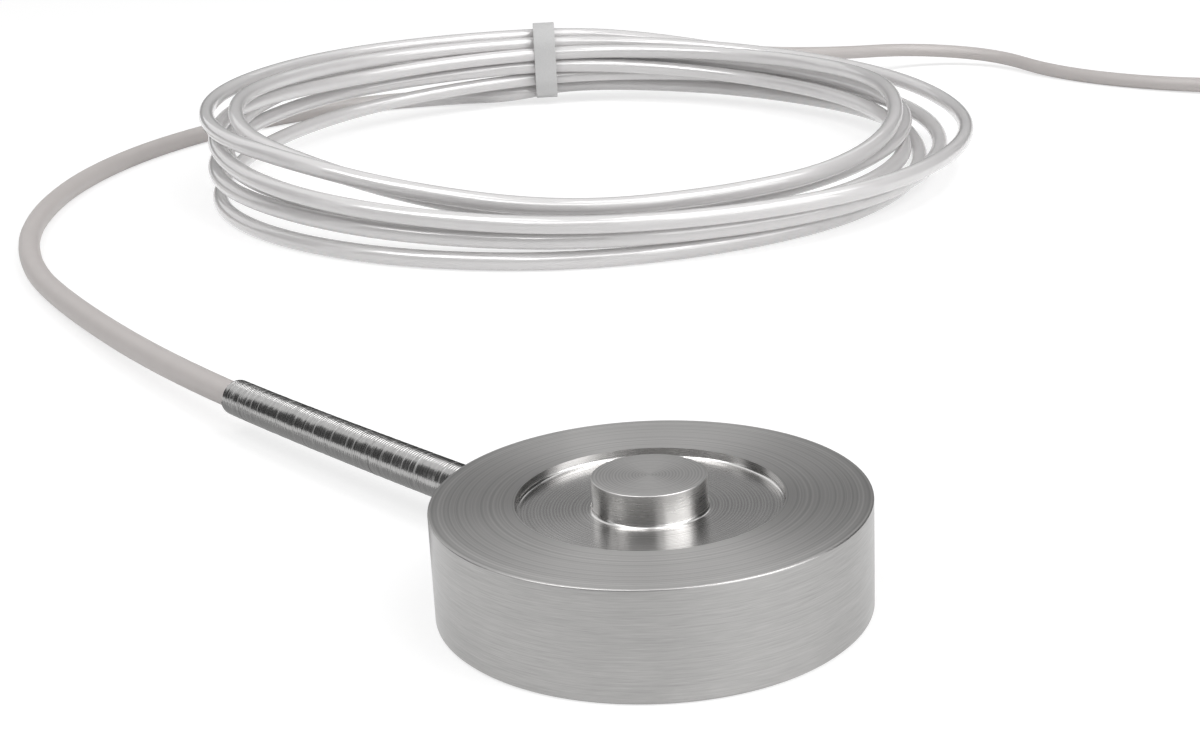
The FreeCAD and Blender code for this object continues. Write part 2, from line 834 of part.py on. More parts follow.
def make_free_cores(end, ahead, aside):
    """Stripped cores that fan out on the floor, with tinned tips, and the drain wire between them."""
    width = dim("core_diameter").value
    offset = core_offset().value
    tips = []
    for colour, (side, level, _, _, share) in CORES.items():
        place = aside * (side * offset) + ahead.cross(aside) * (level * offset)
        route = free_route(end, ahead, aside, place, dim("free_core_fan").value * share, width)
        add_rod(f"free_core_{colour}", route, width)
        tip = doc.addObject("Part::Cylinder", "tip")
        bind(tip, "Radius", dim("tip_diameter") / 2)
        bind(tip, "Height", dim("tip_length"))
        tip.Placement = FreeCAD.Placement(route[-1], FreeCAD.Rotation(UP, route[-1] - route[-2]))
        tips.append(tip)
    group("free_core_tips", tips)
    thin = dim("drain_diameter").value
    add_rod("free_drain_wire", free_route(end, ahead, aside, Vector(), 0, thin), thin)


# Building, checking and writing the pieces

def check_all():
    doc.recompute()
    for item in doc.Objects:
        if "Invalid" in item.State or "Error" in item.State:
            raise RuntimeError(item.Label + " did not build")
    for item in nodes:
        shape = item.Shape
        if shape.isNull() or not shape.isValid() or not shape.Solids:
            raise RuntimeError(item.Label + " is not a sound solid")


def write_parts():
    os.makedirs("parts", exist_ok=True)
    for item in nodes:
        item.Shape.exportStep(f"parts/{item.Label}.step")
    print(len(nodes), "pieces written")


fill_sheet()
make_sensor_body()
make_base_cover()
make_bridge_board()
make_gauges()
make_resistors()
make_inner_cores()
make_cable_entry()
make_lead_and_spring()
make_coil()
make_tie()
make_tail()
check_all()
write_parts()
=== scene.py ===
# %% [markdown]
# # A compression load cell and its coiled cable
# A load cell turns a force into a small voltage. This one is a steel disc as wide as a coin, with
# a button in its middle that takes the load and a thin grey cable that leaves through its side.
# The CAD model gives every rigid piece its size and place. Here each surface gets its finish, and
# the disc, the cable, its spring, its strap and its sleeve get their true forms. Blender works in
# metres, and a comment says so where numbers are in millimetres.

# %% Load the measured model
import math
import random
import bmesh
import bpy
from mathutils import Matrix, Vector


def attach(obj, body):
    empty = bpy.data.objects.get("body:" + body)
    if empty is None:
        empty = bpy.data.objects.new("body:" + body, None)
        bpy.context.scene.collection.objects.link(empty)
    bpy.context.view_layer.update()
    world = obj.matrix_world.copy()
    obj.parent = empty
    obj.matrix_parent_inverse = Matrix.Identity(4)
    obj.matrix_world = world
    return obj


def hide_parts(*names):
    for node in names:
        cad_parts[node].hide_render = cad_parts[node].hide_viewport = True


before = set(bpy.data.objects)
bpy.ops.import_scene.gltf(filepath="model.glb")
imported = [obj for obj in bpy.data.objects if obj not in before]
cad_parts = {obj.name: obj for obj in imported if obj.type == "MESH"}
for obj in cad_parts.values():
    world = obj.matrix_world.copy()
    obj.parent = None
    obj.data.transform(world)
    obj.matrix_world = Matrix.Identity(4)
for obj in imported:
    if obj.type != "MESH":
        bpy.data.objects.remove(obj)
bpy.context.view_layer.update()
MM = 0.001
UP = Vector((0, 0, 1))

# %% [markdown]
# ## Camera
# The camera stands close to the disc and looks down on it a little, so the ring in front is large
# and the coil behind is small. A camera could be aimed by hand, but a match needs numbers: the
# focal length in pixels, the tilt and the place were worked out from the disc's own ellipses.

# %% Set the camera
PICTURE_WIDTH = 1200
FOCAL_PIXELS = 1971.4
VIEW_TURN = math.radians(47.2)
VIEW_PITCH = math.radians(18.33)
VIEW_ROLL = math.radians(-2.85)
EYE = Vector((-3.1, -130.8, 61.4)) * MM
NEAREST_SEEN = 10 * MM


def new_object(name, data):
    """Object in the scene, made from a mesh, a curve, a lamp or a camera."""
    thing = bpy.data.objects.new(name, data)
    bpy.context.scene.collection.objects.link(thing)
    return thing


camera = new_object("camera", bpy.data.cameras.new("camera"))
camera.data.lens = camera.data.sensor_width * FOCAL_PIXELS / PICTURE_WIDTH
camera.data.clip_start = NEAREST_SEEN
lean = Matrix.Rotation(math.pi / 2 - VIEW_PITCH, 4, "X") @ Matrix.Rotation(VIEW_ROLL, 4, "Z")
turn_to_view = Matrix.Rotation(VIEW_TURN, 4, "Z")
camera.matrix_world = turn_to_view @ Matrix.Translation(EYE) @ lean
bpy.context.scene.camera = camera
print("camera lens", round(camera.data.lens, 2), "mm at", camera.matrix_world.translation)

# %% [markdown]
# ## Shader sums
# A finish is a small calculation on every point of a surface. Nodes could be placed and linked one
# by one, but long chains are hard to read that way. This class wraps one socket, so that sums are
# written as plain expressions, and its method `add` makes any other node.

# %% A socket that can be added and multiplied
class Field:
    """One output socket of a node tree; sums of fields add Math nodes to that tree."""

    def __init__(self, tree, socket=None):
        self.tree = tree
        self.socket = socket

    def add(self, kind, settings=None, inputs=None, output=0):
        """One more node of any type: its settings first, then values or links for its sockets."""
        node = self.tree.nodes.new(kind)
        for name, value in (settings or {}).items():
            setattr(node, name, value)
        connect(node, inputs or {})
        return Field(self.tree, node.outputs[output])

    def beside(self, output):
        """Another output of the same node."""
        return Field(self.tree, self.socket.node.outputs[output])

    def maths(self, operation, *values):
        """One Math node on fields and numbers."""
        return self.add("ShaderNodeMath", {"operation": operation}, dict(enumerate(values)))

    def sine(self):
        """Sine of the value in radians."""
        return self.maths("SINE", self)

    def __add__(self, other):
        return self.maths("ADD", self, other)

    __radd__ = __add__

    def __sub__(self, other):
        return self.maths("SUBTRACT", self, other)

    def __rsub__(self, other):
        return self.maths("SUBTRACT", other, self)

    def __mul__(self, other):
        return self.maths("MULTIPLY", self, other)

    __rmul__ = __mul__


def connect(node, inputs):
    """Sets or links a node's input sockets, by name or by number."""
    for key, value in inputs.items():
        if isinstance(value, Field):
            value.tree.links.new(value.socket, node.inputs[key])
        else:
            node.inputs[key].default_value = value


print("shader sums ready")

# %% [markdown]
# ## Helpers for finishes
# Most finishes here need the same few things: where a point is in millimetres, fine noise that is
# long one way and short the other, a soft step between two zones and a blend of two colours. A Mix
# node has sockets for every kind of value, so its colour sockets go by number.

# %% Small helpers for finishes
COLOUR_A, COLOUR_B, COLOUR_OUT = 6, 7, 2


def new_finish(name):
    """A new material, a field to start sums from, and its surface shader."""
    material = bpy.data.materials.new(name)
    material.use_nodes = True
    return material, Field(material.node_tree), material.node_tree.nodes["Principled BSDF"]


def position(tree):
    """Place on the object, in millimetres."""
    place = tree.add("ShaderNodeTexCoord", output="Object")
    return tree.add("ShaderNodeVectorMath", {"operation": "SCALE"}, {0: place, "Scale": 1 / MM})


def stretched(place, x, y, z):
    """The same place with each direction scaled."""
    return place.add("ShaderNodeVectorMath", {"operation": "MULTIPLY"}, {0: place, 1: (x, y, z)})


def noise(place, scale=1.0, detail=3.0, roughness=0.5):
    """Cloudy noise from 0 to 1."""
    return place.add("ShaderNodeTexNoise", None,
                     {"Vector": place, "Scale": scale, "Detail": detail, "Roughness": roughness})


def line_noise(along, scale, detail=2.0):
    """Noise that changes in one direction only."""
    return along.add("ShaderNodeTexNoise", {"noise_dimensions": "1D"},
                     {"W": along, "Scale": scale, "Detail": detail})


def soft_step(value, low, high):
    """0 below low, 1 above high and a smooth rise between them."""
    return value.add("ShaderNodeMapRange", {"interpolation_type": "SMOOTHSTEP"},
                     {"Value": value, "From Min": low, "From Max": high})


def blend(mask, first, second):
    """First colour where the mask is 0 and second where it is 1."""
    return mask.add("ShaderNodeMix", {"data_type": "RGBA"},
                    {0: mask, COLOUR_A: first, COLOUR_B: second}, COLOUR_OUT)


def relief(height, depth, strength=1.0):
    """Normal of a surface whose height runs from 0 to depth."""
    return height.add("ShaderNodeBump", None,
                      {"Height": height, "Distance": depth, "Strength": strength})


def grey(level, warmth=0.0):
    """Opaque grey, a little warm if asked."""
    return (level * (1 + warmth), level, level * (1 - warmth), 1)


print("finish helpers ready")

# %% [markdown]
# ## Stage
# The part stands on a plain white table in even white light. The table could be lit until it burns
# out, but then the steel would burn out too. Here the background is plain white for the eye and
# for reflections, and the table adds a little glow of its own, so it is white and keeps a shadow.

# %% White surroundings and table
AMBIENT = 0.25
TABLE_SIZE = 6.0
TABLE_DROP = 0.02 * MM
TABLE_WHITE = 0.95
GLOW_LEVEL = 1.22
GLOW_SHARE = 0.55


def seen_directly(tree):
    """1 for rays from the eye, from a polished surface or through glass, 0 for soft light."""
    path = tree.add("ShaderNodeLightPath", output="Is Camera Ray")
    seen = path + path.beside("Is Glossy Ray") + path.beside("Is Transmission Ray")
    return seen.add("ShaderNodeClamp", None, {"Value": seen})


def bare_finish(name):
    """A new material without a surface shader, a field to start sums from, and its output node."""
    material = bpy.data.materials.new(name)
    material.use_nodes = True
    nodes = material.node_tree.nodes
    nodes.remove(nodes["Principled BSDF"])
    return material, Field(material.node_tree), nodes["Material Output"]


world = bpy.data.worlds.new("studio")
bpy.context.scene.world = world
world.use_nodes = True
seen = seen_directly(Field(world.node_tree))
background = world.node_tree.nodes["Background"]
connect(background, {"Color": grey(1.0), "Strength": AMBIENT + (1 - AMBIENT) * seen})

half = TABLE_SIZE / 2
corners = [(x, y, -TABLE_DROP) for x, y in ((-half, -half), (half, -half), (half, half), (-half, half))]
table_mesh = bpy.data.meshes.new("table")
table_mesh.from_pydata(corners, [], [(0, 1, 2, 3)])
table = new_object("table", table_mesh)
table_finish, tree, output = bare_finish("white table")
paper = tree.add("ShaderNodeBsdfDiffuse", None, {"Color": grey(TABLE_WHITE)})
glow = tree.add("ShaderNodeEmission", None, {"Color": grey(1.0), "Strength": GLOW_LEVEL})
surface = tree.add("ShaderNodeMixShader", None,
                   {0: GLOW_SHARE * seen_directly(tree), 1: paper, 2: glow})
connect(output, {"Surface": surface})
table_mesh.materials.append(table_finish)
print("table of", TABLE_SIZE, "m set")

# %% [markdown]
# ## Lamps and cards
# Steel shows what is around it. In plain white light it would look like white paint, so a studio
# puts large soft lamps where steel should shine and dark cards where it should go dark. The lamps
# are plain area lights: two tall ones at the sides and a low one on the right.

# %% Soft lamps
CENTRE = Vector((0, 0, 5 * MM))
TALL_LAMP = {"elevation": 60, "distance": 0.95, "width": 0.34, "height": 0.86, "level": 4.3}
LOW_LAMP = {"elevation": 25, "distance": 0.9, "width": 0.9, "height": 0.42, "level": 2.0}


def around(azimuth, elevation, distance):
    """Place seen from the disc: azimuth counts from the camera to its right, in degrees."""
    side, rise = math.radians(azimuth), math.radians(elevation)
    out = Vector((math.sin(side) * math.cos(rise), -math.cos(side) * math.cos(rise), math.sin(rise)))
    return CENTRE + (turn_to_view.to_3x3() @ out) * distance


def soft_lamp(name, azimuth, elevation, distance, width, height, level):
    """Rectangular lamp that faces the disc and has the given brightness all over."""
    light = bpy.data.lights.new(name, "AREA")
    light.shape = "RECTANGLE"
    light.size = width
    light.size_y = height
    light.energy = level * math.pi * width * height
    lamp = new_object(name, light)
    lamp.location = around(azimuth, elevation, distance)
    lamp.rotation_euler = (lamp.location - CENTRE).to_track_quat("Z", "Y").to_euler()
    return lamp


lamps = [
    soft_lamp("left lamp", -72, **TALL_LAMP),
    soft_lamp("right lamp", 72, **TALL_LAMP),
    soft_lamp("low right lamp", 56, **LOW_LAMP),
]
print("lamps set:", len(lamps))

# %% [markdown]
# Most cards are curved walls a good way off. Close to the spring stand a small dark card behind it
# and a grey sheet on the table under it: that sheet is a painted shadow of the spring on the table,
# seen only in the spring's reflection. Real cards would throw shadows and stand in the picture. In
# Blender an object can be hidden from each kind of ray, so these are seen by reflections alone.

# %% Dark cards for reflections
CARD_DISTANCE = 1.3
CARD_STEP = 5
# Start and end azimuth, low and high elevation in degrees, and brightness
CARDS = {
    "front card": (-80, 10, 0, 45, 0.17),
    "left card": (-122, -92, 0, 38, 0.06),
    "low back card": (-160, -122, 0, 8, 0.1),
    "back card": (150, 200, 0, 8, 0.1),
    "upper back card": (150, 205, 8, 26, 0.27),
    "top back card": (168, 184, 26, 40, 0.34),
    "far right card": (96, 150, 0, 42, 0.04),
}
# Brightness, and corners in millimetres
SPRING_CARD_AND_PAINTED_SHADOW = {
    # Painted shadow: this grey sheet on the table stands in for the spring's shadow, in reflections only
    "painted shadow under the spring":
        (0.45, [(-70, -8, -0.01), (-16, -8, -0.01), (-16, 2, -0.01), (-70, 2, -0.01)]),
    "card behind the spring":
        (0.08, [(-75, 10, 0), (-20, 10, 0), (-20, 10, 13), (-75, 10, 13)]),
}


def dark_wall(name, places, faces, level):
    """Faces of one dark level that only reflections can see."""
    mesh = bpy.data.meshes.new(name)
    mesh.from_pydata(places, [], faces)
    wall = new_object(name, mesh)
    paint, tree, output = bare_finish(name)
    glow = tree.add("ShaderNodeEmission", None, {"Color": grey(1.0), "Strength": level})
    connect(output, {"Surface": glow})
    mesh.materials.append(paint)
    wall.visible_camera = False
    wall.visible_diffuse = False
    wall.visible_transmission = False
    wall.visible_shadow = False


def curved_card(name, start, end, low, high, level):
    """Curved wall between two azimuths and two elevations."""
    columns = max(2, round((end - start) / CARD_STEP))
    places = []
    for column in range(columns + 1):
        azimuth = start + (end - start) * column / columns
        places += [around(azimuth, low, CARD_DISTANCE), around(azimuth, high, CARD_DISTANCE)]
    dark_wall(name, places, [(2 * c, 2 * c + 2, 2 * c + 3, 2 * c + 1) for c in range(columns)], level)


for name, card in CARDS.items():
    curved_card(name, *card)
for name, (level, corners) in SPRING_CARD_AND_PAINTED_SHADOW.items():
    dark_wall(name, [Vector(corner) * MM for corner in corners], [(0, 1, 2, 3)], level)
print("cards set:", len(CARDS), "far and", len(SPRING_CARD_AND_PAINTED_SHADOW), "near")

# %% [markdown]
# ## Cable
# The cable is one round jacket about 2.4 mm thick: straight out of the disc, round a wide bow, six
# turns of a coil, and a tail that runs off to the right. A tube along a curve is the natural way.
# The lead and the tail lie freely, so their points are a plain list. Most of them come from a fit to
# the cable's line in the photo, and the rest were set one by one.

# %% Route of the cable
CABLE_RADIUS = 1.2 * MM
CABLE_EXIT = (-0.0159, 0, 0.0035)
LEAD = [(-0.0076, 0, 0.0035), (-0.0398, 0, 0.0035), (-0.0717, 0.0032, 0.0026), (-0.1018, 0.0097, 0.0016),
        (-0.1215, 0.0155, 0.00132), (-0.1411, 0.0259, 0.00132), (-0.1592, 0.0424, 0.00132),
        (-0.1713, 0.0621, 0.00132), (-0.1765, 0.0833, 0.00132), (-0.1728, 0.1041, 0.00132),
        (-0.1642, 0.1170, 0.00135), (-0.1546, 0.1222, 0.00172)]
TAIL = [(-0.1409, 0.1414, 0.0096), (-0.1276, 0.1508, 0.0068), (-0.1237, 0.1677, 0.0046),
        (-0.1214, 0.1866, 0.0029), (-0.1090, 0.1948, 0.0017), (-0.0933, 0.1884, 0.0011),
        (-0.0744, 0.1876, 0.0011), (-0.0565, 0.1927, 0.00157), (-0.0415, 0.2034, 0.00165)]
print("lead of", len(LEAD), "points, tail of", len(TAIL))

# %% [markdown]
# The turns of the coil are not alike: each wanders in and out and up and down on its way round.
# A plain helix would look like a spring, so each turn is a row of eight places, clockwise from the
# back. Reach and height come from a fit to the strands in the photo, mostly rounded to half a
# millimetre, and some were then moved, so that turns touch and hardly cut into each other.
# A loop adds one more point between each two places.

# %% Turns of the coil
COIL_CENTRE = Vector((-110.5, 94.1, 0)) * MM
ACROSS = Vector((math.cos(VIEW_TURN), math.sin(VIEW_TURN), 0))
AWAY = Vector((-math.sin(VIEW_TURN), math.cos(VIEW_TURN), 0))
# Reach from the coil's middle and height, in millimetres
TURN_STATIONS = [
    [(55, 2.5), (51, 2), (48.5, 2.5), (51.5, 1.1), (53.5, 1.1), (50.5, 1.1), (48.5, 1.1), (50, 3)],
    [(52, 4.5), (51.5, 4.5), (51.5, 4), (53.5, 3), (53.5, 3.5), (50, 4.5), (49, 5), (51.5, 6)],
    [(51, 6.5), (48, 4.5), (46.5, 3.5), (49, 3), (49.5, 3.5), (47.5, 5.5), (47.5, 7), (52.5, 9)],
    [(53.5, 7.5), (50, 6.5), (47.5, 6), (45.5, 4.5), (45.5, 4), (45, 9.5), (46, 12), (48.5, 11)],
    [(52.5, 10), (54.5, 7.5), (55.5, 5.5), (55.5, 5), (54.5, 5.5), (51, 7.5), (48, 10), (48, 8.5)],
    [(51, 8.5), (47.5, 8.5), (45.5, 9), (47.5, 6), (48.5, 6), (49, 11), (50, 12), (51.5, 12)],
]
COIL_END = (54.5, 11)
POINTS_A_TURN = 2 * len(TURN_STATIONS[0])


def coil_point(step, reach, height):
    """Control point of a turn: a spline runs inside its points, so they lie a little further out."""
    angle = 2 * math.pi * step / POINTS_A_TURN
    out = AWAY * math.cos(angle) + ACROSS * math.sin(angle)
    return COIL_CENTRE + out * (reach * MM / math.cos(math.pi / POINTS_A_TURN)) + UP * (height * MM)


def coil_turns():
    """All control points of the turns: one at each place and one between it and the next."""
    stations = [station for turn in TURN_STATIONS for station in turn] + [COIL_END]
    points = []
    for number, (here, there) in enumerate(zip(stations, stations[1:])):
        points.append(coil_point(2 * number, *here))
        points.append(coil_point(2 * number + 1, (here[0] + there[0]) / 2, (here[1] + there[1]) / 2))
    points.append(coil_point(2 * len(stations) - 2, *COIL_END))
    return points


route = [Vector(point) for point in LEAD] + coil_turns() + [Vector(point) for point in TAIL]
print("cable route of", len(route), "points")

# %% [markdown]
# A NURBS spline bends without kinks between its control points, and its bevel makes it a tube. The
# lead looks a tenth thicker and the coil a tenth thinner than the jacket's true size, which is kept
# at both ends and where lead and coil meet. The same spline without a bevel gives points along the cable.

# %% Cable as a tube along a spline
CABLE_SIDES = 6
CABLE_STEPS = 8
LEAD_SHARE = 1.1
COIL_SHARE = 0.9


def spline_curve(name, points, steps, shares=None):
    """Smooth NURBS curve with these control points, and with shares of its thickness at them."""
    curve = bpy.data.curves.new(name, "CURVE")
    curve.dimensions = "3D"
    curve.resolution_u = steps
    spline = curve.splines.new("NURBS")
    spline.points.add(len(points) - 1)
    for control, place in zip(spline.points, points):
        control.co = (*place, 1)
    for control, share in zip(spline.points, shares or []):
        control.radius = share
    spline.order_u = 3
    spline.use_endpoint_u = True
    return curve


def spline_points(points, steps):
    """Points along the spline itself, read from a curve with no thickness."""
    thread = new_object("thread", spline_curve("thread", points, steps))
    mesh = bpy.data.meshes.new_from_object(thread)
    line = [vertex.co.copy() for vertex in mesh.vertices]
    curve = thread.data
    bpy.data.objects.remove(thread)
    bpy.data.curves.remove(curve)
    bpy.data.meshes.remove(mesh)
    return line


shares = [1.0, 1.0] + [LEAD_SHARE] * (len(LEAD) - 3) + [1.0]
shares += [COIL_SHARE] * (len(route) - len(LEAD) - 2) + [1.0, 1.0]
cable_curve = spline_curve("signal_cable", route, CABLE_STEPS, shares)
cable_curve.bevel_depth = CABLE_RADIUS
cable_curve.bevel_resolution = CABLE_SIDES
cable_curve.use_fill_caps = True
cable = new_object("signal_cable", cable_curve)
cable_line = spline_points(route, CABLE_STEPS)

# %% [markdown]
# ## Cable jacket
# The jacket is light grey plastic. On the coil it is smooth and shows white streaks; the lead and
# the tail are duller and a touch warmer. One finish covers both, blended by the distance from the
# coil's middle, with a faint mottle and a very fine skin like that of extruded plastic.

# %% Finish of the jacket
# Distances from the coil's middle, in millimetres
COIL_EDGE, LEAD_EDGE = 57.0, 63.0
COIL_GREY = (0.68, 0.667, 0.667, 1)
LEAD_GREY = (0.53, 0.498, 0.486, 1)

jacket, tree, shader = new_finish("grey jacket")
place = position(tree)
from_coil = tree.add("ShaderNodeVectorMath", {"operation": "DISTANCE"},
                     {0: stretched(place, 1, 1, 0), 1: COIL_CENTRE / MM}, "Value")
on_lead = soft_step(from_coil, COIL_EDGE, LEAD_EDGE)
mottle = noise(place, scale=0.35, detail=4)
skin = noise(place, scale=5.0)
tint = blend(mottle, grey(0.96), grey(1.03))
colour = tree.add("ShaderNodeMix", {"data_type": "RGBA", "blend_type": "MULTIPLY"},
                  {0: 1.0, COLOUR_A: blend(on_lead, COIL_GREY, LEAD_GREY), COLOUR_B: tint}, COLOUR_OUT)
connect(shader, {
    "Base Color": colour,
    "Roughness": 0.4 + 0.12 * on_lead + 0.05 * (skin - 0.5),
    "Coat Weight": 1 - on_lead,
    "Coat Roughness": 0.02,
    "Coat IOR": 1.8,
    "Normal": relief(skin, 0.002 * MM, 0.2),
})
cable_curve.materials.append(jacket)
print("jacket finish ready")

# %% [markdown]
# Smooth plastic shows a clean white streak along every turn, wider than the two tall lamps give it.
# More lamps would change the steel as well. Light linking keeps a lamp for chosen objects, so three
# long panels shine on the cable alone, and only in its reflections.

# %% Panels for the streaks
PANEL = {"elevation": 50, "distance": 0.95, "width": 1.0, "height": 0.32, "level": 3.6}
PANEL_AZIMUTHS = {"left panel": -55, "middle panel": 10, "right panel": 75}

cable_alone = bpy.data.collections.new("cable alone")
cable_alone.objects.link(cable)
for name, azimuth in PANEL_AZIMUTHS.items():
    panel = soft_lamp(name, azimuth, **PANEL)
    panel.visible_diffuse = False
    panel.light_linking.receiver_collection = cable_alone

# %% [markdown]
# The finished cable now takes its place: it rides on the part's only body, stands for three CAD
# pieces and has a slot for its material. This comes after the finish, because Blender can lose the
# box it has measured round a curve when that curve is changed again.

# %% Place the cable
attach(cable, "root")
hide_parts("cable_lead", "cable_coil", "cable_tail")
print("cable placed:", cable.name)

# %% [markdown]
# ## Steel finishes
# The disc was turned on a lathe, so the tool left fine rings on the flat faces and fine lines
# round its side. Rings in such steel spread a reflection outwards, across the lines. The shader's
# anisotropy does that. Noise that changes only with the radius draws the rings, and noise drawn
# out along the side makes the strokes there.

# %% Tool marks
# Millimetres from ring to ring, and how far the rings wander, in radians of their wave
RING_FEED = 0.23
RING_WANDER = 5


def radius_of(place):
    """Distance from the load axis."""
    flat = stretched(place, 1, 1, 0)
    return place.add("ShaderNodeVectorMath", {"operation": "LENGTH"}, {0: flat}, "Value")


def fine_rings(place):
    """Close rings of a facing cut, no two alike."""
    radius = radius_of(place)
    close = line_noise(radius, scale=4.6, detail=3.0)
    broad = line_noise(radius, scale=0.9, detail=1.0)
    return close * 0.85 + broad * 0.15


def even_rings(place):
    """Regular rings of a slow feed, with a little unevenness."""
    radius = radius_of(place)
    wander = line_noise(radius, scale=1.4)
    wave = (radius * (2 * math.pi / RING_FEED) + wander * RING_WANDER).sine()
    return wave * 0.28 + line_noise(radius, scale=3.0, detail=3.0) * 0.5 + 0.25


def brushed_round(place):
    """Long thin strokes round the side."""
    long_strokes = noise(stretched(place, 0.15, 0.15, 13.0), roughness=0.6)
    short_strokes = noise(stretched(place, 0.55, 0.55, 21.0), detail=2, roughness=0.6)
    return long_strokes * 0.45 + short_strokes * 0.55


print("tool marks ready")

# %% Turned steel
ACROSS_THE_LINES = 0.25
DARK_MARK, LIGHT_MARK = 0.6, 1.4
DARK_WARMTH, LIGHT_WARMTH = 0.01, 0.014
CLOUD_CONTRAST = 0.08
ROUGH_CHANGE = 0.5


def turned_steel(name, lines, level, rough, spread, contrast, depth):
    """Steel with tool marks: lines is a function that turns a place into a field of marks."""
    material, tree, shader = new_finish(name)
    place = position(tree)
    marks = lines(place)
    cloud = noise(place, scale=0.25)
    tone = (marks - 0.5) * contrast + (cloud - 0.5) * CLOUD_CONTRAST + 0.5
    dark, light = grey(level * DARK_MARK, DARK_WARMTH), grey(level * LIGHT_MARK, LIGHT_WARMTH)
    connect(shader, {
        "Base Color": blend(tone, dark, light),
        "Metallic": 1.0,
        "Roughness": rough + (0.5 - marks) * rough * ROUGH_CHANGE,
        "Anisotropic": spread,
        "Anisotropic Rotation": ACROSS_THE_LINES,
        "Normal": relief(marks, depth),
    })
    return material


faced_steel = turned_steel("faced steel", fine_rings, level=0.435, rough=0.4, spread=0.74,
                           contrast=1.25, depth=0.001 * MM)
button_steel = turned_steel("faced button steel", even_rings, level=0.53, rough=0.38, spread=0.35,
                            contrast=0.65, depth=0.0016 * MM)
recess_steel = turned_steel("turned recess steel", even_rings, level=0.62, rough=0.22, spread=0.74,
                            contrast=0.75, depth=0.0001 * MM)
wall_steel = turned_steel("turned wall steel", brushed_round, level=0.5, rough=0.28, spread=0.7,
                          contrast=0.45, depth=0.00001 * MM)
side_steel = turned_steel("brushed side steel", brushed_round, level=0.395, rough=0.33, spread=0.7,
                          contrast=1.0, depth=0.0004 * MM)
inner_steel = turned_steel("bored inner steel", brushed_round, level=0.5, rough=0.4, spread=0.5,
                           contrast=0.4, depth=0.001 * MM)
ZONES = [faced_steel, button_steel, recess_steel, wall_steel, side_steel, inner_steel]
print("steel finishes ready:", len(ZONES))

# %% [markdown]
# ## Sensor body
# The body is one turned piece: a foot, a wall, a thin membrane with a shallow recess, and the load
# button. Stacked cylinders would leave hard joints, so a profile is drawn and then spun round the
# load axis, as on a lathe. It carries the true chamfers and the fillets of the recess.

# %% Profile of the body
# Radii and heights in millimetres
FOOT_RADIUS, FOOT_CHAMFER = 15.9, 0.2
RING_TOP, RING_CHAMFER = 8.25, 0.12
RECESS_RADIUS, RECESS_FLOOR, RECESS_FILLET = 9.7, 7.5, 0.3
BUTTON_RADIUS, BUTTON_TOP, BUTTON_CHAMFER = 4.15, 9.9, 0.07
CAVITY = [(0, 5.2), (3.0, 5.2), (3.0, 6.0), (10.0, 6.0), (10.0, 1.8), (11.1, 1.8), (11.1, 0.75),
          (12.05, 0.75), (12.05, 0)]
LONGEST_STEP = 0.9
ARC_STEPS = 8


def arc(centre, radius, start, end):
    """Points of an arc, angles in degrees from the outward direction."""
    points = []
    for step in range(ARC_STEPS + 1):
        angle = math.radians(start + (end - start) * step / ARC_STEPS)
        points.append((centre[0] + radius * math.cos(angle), centre[1] + radius * math.sin(angle)))
    return points


def outer_profile():
    """Cavity, foot, side, ring, recess and button, from the axis below to the axis above."""
    floor_arc = RECESS_FLOOR + RECESS_FILLET
    points = list(CAVITY)
    points += [(FOOT_RADIUS - FOOT_CHAMFER, 0), (FOOT_RADIUS, FOOT_CHAMFER)]
    points += arc((FOOT_RADIUS - RING_CHAMFER, RING_TOP - RING_CHAMFER), RING_CHAMFER, 0, 90)
    points.append((RECESS_RADIUS, RING_TOP))
    points += arc((RECESS_RADIUS - RECESS_FILLET, floor_arc), RECESS_FILLET, 0, -90)
    points += arc((BUTTON_RADIUS + RECESS_FILLET, floor_arc), RECESS_FILLET, 270, 180)
    points += arc((BUTTON_RADIUS - BUTTON_CHAMFER, BUTTON_TOP - BUTTON_CHAMFER), BUTTON_CHAMFER, 0, 90)
    points.append((0, BUTTON_TOP))
    return points


def divided(points, longest):
    """The same outline with its long straight stretches divided."""
    result = [points[0]]
    for start, end in zip(points, points[1:]):
        parts = max(1, math.ceil(math.dist(start, end) / longest))
        for part in range(1, parts + 1):
            share = part / parts
            result.append((start[0] + (end[0] - start[0]) * share,
                           start[1] + (end[1] - start[1]) * share))
    return result


profile = divided(outer_profile(), LONGEST_STEP)
print("body profile of", len(profile), "points")

# %% Spin the profile
BODY_TURNS = 240
MERGE_DISTANCE = 0.002 * MM


def spun(name, points, turns):
    """Mesh of a profile of radii and heights, in millimetres, spun round the upright axis."""
    shape = bmesh.new()
    line = [shape.verts.new((radius * MM, 0, height * MM)) for radius, height in points]
    edges = [shape.edges.new(pair) for pair in zip(line, line[1:])]
    bmesh.ops.spin(shape, geom=line + edges, axis=UP, cent=(0, 0, 0), angle=2 * math.pi, steps=turns,
                   use_merge=True)
    bmesh.ops.remove_doubles(shape, verts=shape.verts, dist=MERGE_DISTANCE)
    bmesh.ops.recalc_face_normals(shape, faces=shape.faces)
    mesh = bpy.data.meshes.new(name)
    shape.to_mesh(mesh)
    shape.free()
    for finish in ZONES:
        mesh.materials.append(finish)
    return mesh


body_mesh = spun("sensor_disc", profile, BODY_TURNS)
body = new_object("sensor_disc", body_mesh)
print("body of", len(body_mesh.polygons), "faces")

# %% [markdown]
# Every face of the disc was cut in its own way: the ring and the button were faced, the recess was
# turned, the side was brushed and the cavity was bored. Faces could be picked by hand, but a rule
# on height, radius and slope finds them again whenever a size changes.

# %% Give each zone its cut of steel
FACED, BUTTON, RECESS, WALL, SIDE, INNER = range(len(ZONES))
EDGE = 0.05
UPRIGHT = 0.5


